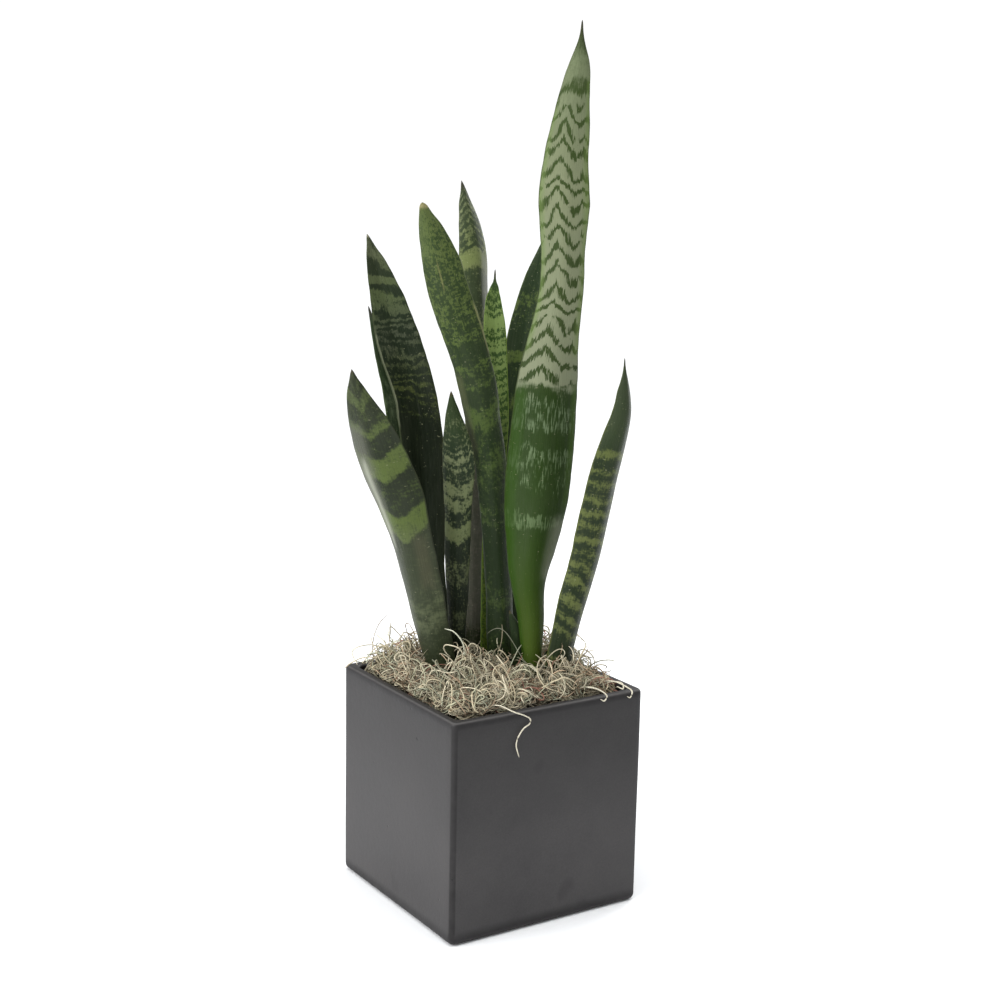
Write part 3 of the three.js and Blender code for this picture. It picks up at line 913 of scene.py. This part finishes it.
# Each leaf's look. Places along it are in mm from its base, and s goes from -1 at the left
# margin to 1 at the right one.
#   depth: brightness, painted light and shade for how each leaf is lit        gloss: specular level        ripple: height of its waves in mm
#   zig, rag, fringe: how far a band's edge wanders in mm, in wide, small and hair-thin steps
#   uneven: how far whole bands shift        broken, mottle: how blotchy the bands are
#   all_dark, all_pale: where the pattern reaches the dark and the light tone
#   bow: how the bands curve across, as (s, share of bow_size in mm); bow_top takes over from
#   it between the two places in bow_top_from, for the chevrons only if level_bands is set
#   bands, streaks: place and percent of paleness, or of streaks
#   chevrons: first, last, pitch, half width over pitch, strength
#   mottle_patch: s from and to, place from and to, strength
#   dark, light: (place, red, green, blue)
#   patches: s from and to, place from and to, softness in s, tone, strength; some are the leaf's
#       own marks, some painted highlights
#   tip: length of the dry tip in mm
PLAIN = dict(
    zig=2.2, rag=1.4, fringe=1.2, uneven=0, broken=0.3, mottle=0.45, all_dark=0.25,
    all_pale=0.75, depth=0.55, gloss=0.12, ripple=0.9, level_bands=False, patches=(),
    margin=(66, 78, 42), tip_tone=(92, 82, 62))
LOOKS = {}
LOOKS["leaf_tall"] = dict(
    slot="leaf_pale", depth=0.45, gloss=0.07, zig=3.2, rag=1.8, fringe=3.2, uneven=6, broken=0.14,
    mottle=0.16, bow_size=15, tip=12, margin=(74, 88, 52), tip_tone=(88, 86, 72), level_bands=True,
    bow=[(-1, -0.3), (-0.3, 0.1), (0.3, -0.05), (1, -0.1)],
    bow_top=[(-1, -0.9), (-0.6, -0.5), (-0.27, 0), (0.1, -0.5), (0.38, -0.9), (0.6, -0.7),
        (0.7, -0.5), (1, -0.8)],
    bow_top_from=(190, 230),
    bands={0: 0, 244: 0, 254: 90, 437: 95, 441: 25, 444: 25, 447: 72, 463: 62, 472: 40, 486: 15},
    chevrons=(250, 433, 11.4, 0.15, 0.98),
    streaks={0: 0, 104: 0, 112: 30, 122: 25, 128: 5, 147: 10, 151: 85, 160: 80, 165: 5, 173: 20,
        178: 60, 192: 62, 198: 78, 206: 74, 210: 10, 214: 10, 219: 76, 240: 66, 247: 10, 486: 0},
    dark=[(0, 98, 118, 52), (60, 90, 112, 44), (110, 66, 92, 32), (150, 54, 78, 34),
        (240, 52, 74, 36), (262, 68, 84, 50), (440, 76, 94, 56), (486, 76, 86, 62)],
    light=[(0, 116, 144, 87), (110, 106, 136, 89), (236, 122, 146, 116), (250, 158, 170, 146),
        (380, 157, 170, 141), (486, 130, 148, 116)],
    patches=[(-1.1, -0.62, 60, 245, 0.14, (54, 90, 12), 0.75),
        (0.78, 1.1, 165, 250, 0.1, (76, 108, 30), 0.7),
        (0.78, 1.1, 270, 450, 0.15, (138, 166, 92), 0.5),
        (-1.1, -0.8, 270, 430, 0.12, (134, 162, 94), 0.5),
        # painted highlight where the lower right margin curves away
        (0.55, 1.1, 116, 158, 0.25, (176, 182, 164), 0.6)])
LOOKS["leaf_front_left"] = dict(
    slot="leaf_mid", depth=0.4, ripple=1.2, zig=1.4, rag=0.7, fringe=0.5, mottle=0.5, all_dark=0.1,
    all_pale=1.0, bow_size=6, tip=4, margin=(66, 72, 54),
    bow=[(-1, 0.6), (-0.4, 0.1), (0.1, -0.9), (0.5, -0.2), (1, 0.6)],
    bands={0: 15, 48: 30, 66: 15, 78: 20, 83: 50, 90: 60, 94: 30, 99: 60, 104: 30, 114: 15,
        132: 10, 149: 10, 153: 90, 167: 90, 170: 10, 180: 25, 192: 10, 196: 90, 209: 85, 212: 15,
        224: 10, 227: 70, 231: 60, 234: 15, 245: 20, 248: 70, 254: 65, 257: 10, 262: 50, 265: 10,
        272: 40},
    dark=[(0, 48, 58, 42), (60, 60, 68, 54), (110, 72, 79, 68), (146, 68, 75, 66),
        (168, 48, 56, 46), (220, 46, 54, 44), (272, 62, 69, 56)],
    light=[(0, 92, 106, 68), (80, 112, 124, 98), (140, 112, 128, 90), (160, 106, 128, 68),
        (240, 104, 124, 72), (272, 104, 116, 88)],
    # the first four are painted sheen and a painted highlight down the left, where the leaf curves
    # away; the last is a brownish mark
    patches=[(-1.1, -0.2, 196, 232, 0.3, (122, 124, 116), 0.7),
        (-1.1, -0.4, 150, 200, 0.25, (160, 162, 152), 0.6),
        (-0.72, -0.5, 140, 205, 0.12, (226, 228, 222), 0.6),
        (-1.1, -0.7, 60, 140, 0.15, (130, 134, 122), 0.5),
        (0.35, 0.8, 112, 150, 0.15, (112, 108, 88), 0.4)])
LOOKS["leaf_back_left"] = dict(
    slot="leaf_dark", depth=0.52, gloss=0.06, zig=2, rag=1.5, uneven=8, mottle=0.5, bow_size=8,
    tip=3, margin=(70, 78, 56), tip_tone=(170, 165, 150), bow=[(-1, 0.6), (0, 0), (1, -0.6)],
    bands={0: 4, 190: 5, 200: 20, 206: 5, 215: 10, 222: 35, 228: 25, 242: 65, 249: 40, 258: 55,
        276: 50, 282: 65, 287: 50, 292: 65, 295: 35, 297: 75, 304: 75, 307: 10, 311: 10, 314: 85,
        322: 85, 325: 10, 331: 15, 334: 70, 345: 60, 354: 30},
    chevrons=(226, 300, 6.4, 0.24, 0.5),
    dark=[(0, 26, 34, 26), (220, 28, 36, 28), (300, 40, 52, 42), (354, 58, 66, 54)],
    light=[(0, 52, 64, 40), (240, 78, 90, 52), (280, 84, 94, 80), (310, 94, 110, 76),
        (354, 104, 112, 92)],
    patches=[(-1.1, -0.93, 215, 285, 0.03, (176, 180, 160), 0.7)])
LOOKS["leaf_back_left_narrow"] = dict(
    slot="leaf_dark", depth=0.72, mottle=0.2, bow_size=3, tip=12, tip_tone=(62, 58, 52), bow=SMILE,
    bands={0: 10, 150: 15, 200: 35, 230: 50, 250: 30, 262: 20, 285: 30, 301: 20},
    dark=[(0, 40, 54, 34), (301, 46, 62, 44)],
    light=[(0, 80, 96, 62), (230, 98, 116, 92), (301, 80, 96, 72)])
LOOKS["leaf_front_middle"] = dict(
    slot="leaf_dark", zig=1.6, rag=1.6, fringe=1.5, broken=0.5, mottle=0.75, all_dark=0.2,
    all_pale=0.95, bow_size=5, tip=4, margin=(86, 92, 58), bow=SMILE,
    bands={0: 5, 45: 8, 55: 30, 62: 5, 74: 10, 80: 50, 88: 55, 92: 10, 104: 15, 109: 55, 122: 55,
        126: 5, 136: 10, 139: 95, 148: 95, 150: 10, 153: 45, 157: 10, 160: 80, 165: 95, 168: 30,
        171: 85, 177: 85, 179: 10, 181: 60, 184: 10, 188: 60, 190: 10, 194: 95, 198: 50, 212: 40,
        242: 0},
    chevrons=(196, 214, 4.2, 0.26, 0.5),
    dark=[(0, 26, 34, 26), (120, 30, 42, 30), (200, 42, 58, 44), (215, 50, 68, 44),
        (242, 56, 72, 44)],
    light=[(0, 80, 92, 66), (110, 104, 116, 86), (140, 130, 146, 104), (200, 140, 154, 120),
        (242, 90, 106, 70)])
LOOKS["leaf_middle_left"] = dict(
    slot="leaf_mid", depth=0.5, zig=2.5, rag=2.4, mottle=0.55, all_pale=0.85, bow_size=4, tip=5,
    margin=(98, 112, 62), tip_tone=(176, 166, 126), bow=SMILE,
    bands={0: 10, 55: 15, 66: 45, 72: 20, 88: 20, 93: 60, 98: 30, 103: 50, 108: 15, 146: 15,
        150: 55, 155: 30, 158: 55, 164: 20, 176: 40, 190: 55, 205: 40, 212: 20, 218: 65, 230: 70,
        234: 25, 243: 20, 247: 60, 252: 20, 259: 65, 263: 25, 276: 35, 281: 75, 288: 50, 300: 75,
        319: 55, 378: 95},
    mottle_patch=(-1.1, 1.1, 258, 366, 0.75),
    dark=[(0, 38, 56, 30), (180, 42, 60, 36), (260, 44, 60, 36), (378, 56, 76, 40)],
    light=[(0, 76, 98, 52), (150, 80, 104, 56), (230, 88, 112, 56), (320, 92, 112, 60),
        (378, 98, 116, 66)],
    patches=[(-1.1, -0.62, 200, 255, 0.12, (92, 98, 66), 0.7),
        (0.9, 1.1, 268, 300, 0.03, (190, 186, 140), 0.6),
        (-0.16, -0.1, 318, 336, 0.03, (160, 156, 104), 0.5),
        (-1.1, -0.3, 338, 372, 0.3, (104, 120, 74), 0.4)])
LOOKS["leaf_back_middle"] = dict(
    slot="leaf_mid", depth=0.82, zig=1.5, rag=1.2, mottle=0.4, bow_size=8, tip=8,
    margin=(78, 84, 62), tip_tone=(64, 58, 52),
    bow=[(-1, -0.7), (-0.1, 0.2), (0.4, -0.4), (1, -0.9)],
    bands={0: 30, 250: 50, 290: 45, 300: 20, 320: 25, 325: 80, 334: 80, 338: 45, 376: 60, 384: 10},
    chevrons=(336, 378, 5.2, 0.24, 0.6),
    dark=[(0, 50, 56, 44), (290, 52, 62, 48), (384, 56, 66, 52)],
    light=[(0, 96, 108, 60), (60, 104, 104, 96), (200, 104, 106, 98), (300, 116, 126, 92),
        (330, 112, 126, 82), (384, 112, 122, 98)],
    # the first is a painted highlight on the fold at the right
    patches=[(0.3, 1.1, 250, 330, 0.15, (122, 124, 120), 0.6),
        (-1.1, 1.1, 70, 190, 0.1, (100, 98, 94), 0.7)])
LOOKS["leaf_middle_slim"] = dict(
    slot="leaf_pale", depth=0.76, zig=1.2, rag=1.5, mottle=0.75, all_pale=0.66, bow_size=3, tip=11,
    margin=(112, 136, 58), tip_tone=(70, 62, 50), bow=SMILE,
    bands={0: 50, 150: 50, 200: 40, 212: 70, 230: 40, 236: 75, 250: 45, 256: 80, 264: 50, 268: 85,
        274: 40, 278: 50, 283: 90, 288: 85, 290: 10, 293: 80, 295.5: 10, 298: 75, 300.5: 15,
        304: 60, 308: 20, 313: 15, 322: 5},
    chevrons=(190, 282, 5.6, 0.16, 0.4),
    dark=[(0, 54, 80, 22), (200, 56, 82, 36), (322, 50, 76, 36)],
    light=[(0, 92, 116, 32), (180, 96, 120, 48), (240, 124, 150, 88), (290, 132, 160, 96),
        (322, 96, 124, 66)])
LOOKS["leaf_back_right"] = dict(
    slot="leaf_dark", depth=0.85, zig=2, rag=1.6, mottle=0.5, bow_size=6, tip=6,
    margin=(84, 98, 46), bow=[(-1, -0.3), (1, 0.3)],
    bands={0: 5, 200: 10, 222: 15, 226: 50, 232: 45, 236: 10, 247: 20, 251: 40, 254: 15, 257: 70,
        263: 70, 266: 10, 280: 15, 289: 40, 293: 25, 297: 50, 304: 50, 308: 20, 345: 15},
    dark=[(0, 30, 44, 26), (345, 36, 52, 34)], light=[(0, 70, 90, 44), (345, 84, 104, 54)])
LOOKS["leaf_right"] = dict(
    slot="leaf_dark", depth=0.51, zig=2, rag=2, broken=0.2, mottle=0.42, bow_size=7, tip=9,
    margin=(104, 112, 58), tip_tone=(74, 72, 60),
    bow=[(-1, 0.7), (-0.4, 0.5), (0.2, -0.4), (0.6, -0.7), (1, -0.4)],
    bow_top=[(-1, 0.1), (0, 0.1), (1, -0.1)], bow_top_from=(120, 150),
    bands={0: 10, 50: 15, 58: 50, 64: 10, 74: 15, 79: 65, 84: 15, 88: 70, 93: 20, 101: 75, 107: 15,
        115: 75, 121: 20, 127: 60, 133: 25, 138: 55, 143: 15, 147: 85, 152: 20, 159: 65, 163: 15,
        167: 75, 171: 15, 176: 65, 181: 20, 188: 60, 192: 15, 196: 60, 203: 10, 209: 80, 213: 15,
        277: 10},
    dark=[(0, 40, 54, 36), (200, 42, 56, 38), (225, 58, 72, 52), (277, 66, 78, 60)],
    light=[(0, 110, 124, 78), (150, 112, 126, 74), (277, 106, 122, 70)],
    # painted highlight along the right margin, where the leaf curves away
    patches=[(0.66, 1.1, 60, 230, 0.2, (150, 154, 146), 0.4)])
LOOKS["sheath_left"] = dict(
    slot="leaf_dark", mottle=0.2, bow_size=2, tip=3, bow=SMILE, bands={0: 10, 60: 25, 95: 20},
    dark=[(0, 34, 50, 28), (95, 36, 52, 32)], light=[(0, 70, 92, 40), (95, 72, 90, 50)])
LOOKS["sheath_right"] = dict(
    slot="leaf_dark", mottle=0.2, bow_size=2, tip=3, bow=SMILE, bands={0: 20, 40: 40, 69: 30},
    dark=[(0, 40, 60, 26), (69, 46, 66, 30)], light=[(0, 78, 104, 40), (69, 84, 108, 48)])

add_pot()
add_heap("earth", "potting_soil", FLOOR + FIT, soil_level, earth_material())
add_moss()
for number, (node, look) in enumerate(LOOKS.items()):
    add_leaf(node, {**PLAIN, **look}, number)


# ---- Floor and light ----
FLOOR_REACH, FLOOR_GAP = 9, 0.3 * MM


def add_floor():
    mesh = bpy.data.meshes.new("floor")
    corners = [(x * FLOOR_REACH, y * FLOOR_REACH, 0)
               for x, y in ((-1, -1), (1, -1), (1, 1), (-1, 1))]
    mesh.from_pydata(corners, [], [(0, 1, 2, 3)])
    paint = Paint("floor_white", 0.9, 0.1)
    soft = paint.noise(paint.place(), 3, 2) * 0.02 + 0.5
    mesh.materials.append(paint.finish(paint.mix(soft, rgb(236, 238, 240), rgb(240, 241, 242))))
    floor = bpy.data.objects.new("floor", mesh)
    floor.location.z = -FLOOR_GAP
    scene.collection.objects.link(floor)


def add_light(name, place, aim, size, power):
    light = bpy.data.lights.new(name, "AREA")
    light.shape = "RECTANGLE"
    light.size, light.size_y = size
    light.energy = power
    lamp = bpy.data.objects.new(name, light)
    lamp.location = place
    lamp.rotation_euler = (Vector(aim) - Vector(place)).to_track_quat("-Z", "Y").to_euler()
    scene.collection.objects.link(lamp)


SIDE_GLOW, SKY_GLOW, ALL_ROUND_GLOW, BACKDROP = 0.4, 0.45, 0.25, 1.05


def add_world():
    """A white studio that lights from all round, most from overhead and the two sides, and
    that shows as plain white."""
    world = bpy.data.worlds.new("studio")
    world.use_nodes = True
    nodes = Nodes(world.node_tree)
    way = nodes.wire("ShaderNodeTexCoord", (), "Generated")
    sides = nodes.wire("ShaderNodeSeparateXYZ", [way], "X").size() * SIDE_GLOW
    overhead = nodes.wire("ShaderNodeSeparateXYZ", [way], "Z").most(0) * SKY_GLOW
    lit, seen = (nodes.wire("ShaderNodeBackground", [(1, 1, 1, 1), strength])
                 for strength in (sides + overhead + ALL_ROUND_GLOW, BACKDROP))
    direct = nodes.wire("ShaderNodeLightPath", (), "Is Camera Ray")
    mix = nodes.wire("ShaderNodeMixShader", [direct, lit, seen])
    nodes.put(nodes.tree.nodes["World Output"].inputs["Surface"], mix)
    scene.world = world


def add_overhead(strength, width):
    """A sun straight above, as wide as a soft box; the width is in degrees."""
    light = bpy.data.lights.new("overhead", "SUN")
    light.energy, light.angle = strength, math.radians(width)
    scene.collection.objects.link(bpy.data.objects.new("overhead", light))


add_floor()
add_world()
add_overhead(1.9, 70)
add_light("key_left", (-1.7, -0.2, 0.8), (0, 0, 0.25), (1.2, 1.6), 36)
add_light("rim_right", (1.3, 0.5, 0.8), (0, 0, 0.3), (0.6, 1.4), 10)
scene.view_settings.view_transform = "Standard"
